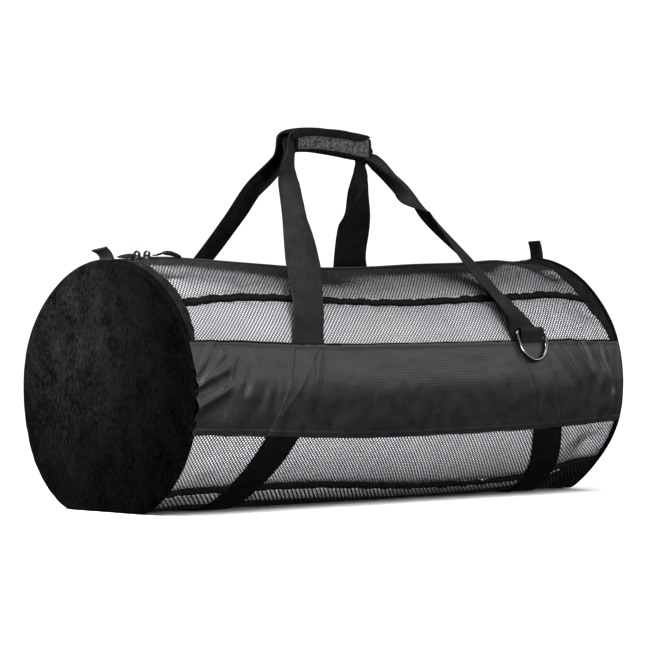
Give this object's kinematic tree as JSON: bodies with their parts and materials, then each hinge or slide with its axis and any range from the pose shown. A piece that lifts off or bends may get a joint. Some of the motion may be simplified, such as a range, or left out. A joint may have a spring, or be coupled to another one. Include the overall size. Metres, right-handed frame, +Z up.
{
  "type": "mesh duffel bag",
  "caption": "Round black mesh duffel lying on its side: solid end panels, net wall with cloth bands, zip along the top, webbing straps, two handles in a padded grip and a D-ring.",
  "frame": {"origin": "on the ground under the middle of the bag's box", "axes": "+X along the bag from the zip-pull end to the D-ring end, -Y out of the front with the D-ring, +Z up"},
  "size_m": [0.7733, 0.3236, 0.4701],
  "materials": {
    "panel_cloth": "black coated woven cloth, softly mottled",
    "net_thread": "black knitted polyester net",
    "tape_cloth": "black woven binding tape",
    "band_cloth": "black coated cloth with a fine weave and a soft sheen",
    "strap_webbing": "black ribbed polyester webbing",
    "grip_cloth": "speckled grey padded cloth with black binding",
    "zip_plastic": "black nylon coil",
    "ring_steel": "nickel-plated steel wire",
    "slider_metal": "black lacquered zinc casting",
    "pull_rubber": "black moulded rubber"
  },
  "bodies": {
    "bag": {"end_panel_left": "panel_cloth", "end_panel_right": "panel_cloth", "end_strip_left": "tape_cloth", "end_strip_right": "tape_cloth", "net_front": "net_thread", "net_rear": "net_thread", "net_top_front": "net_thread", "net_top_rear": "net_thread", "net_bottom": "net_thread", "seam_tape_front_upper": "tape_cloth", "seam_tape_front_lower": "tape_cloth", "seam_tape_rear_upper": "tape_cloth", "seam_tape_rear_lower": "tape_cloth", "zip_tape_front": "tape_cloth", "zip_tape_rear": "tape_cloth", "zip_coil": "zip_plastic", "band_front": "band_cloth", "band_rear": "band_cloth", "strap_left": "strap_webbing", "strap_right": "strap_webbing", "handle_front": "strap_webbing", "handle_rear": "strap_webbing", "grip_wrap": "grip_cloth", "d_ring_loop": "strap_webbing", "slider_left": "slider_metal", "pull_left": "pull_rubber", "slider_right": "slider_metal", "pull_link": "ring_steel", "pull_right": "pull_rubber", "tab_left": "strap_webbing", "tab_right": "strap_webbing"},
    "d_ring": {"d_ring": "ring_steel"}
  },
  "joints": [
    {"name": "d_ring_swing", "type": "hinge", "parent": "bag", "child": "d_ring", "pos_m": [0.201, -0.14909, 0.21181], "axis": [-1, 0, 0], "range_deg": [0, 150]}
  ]
}
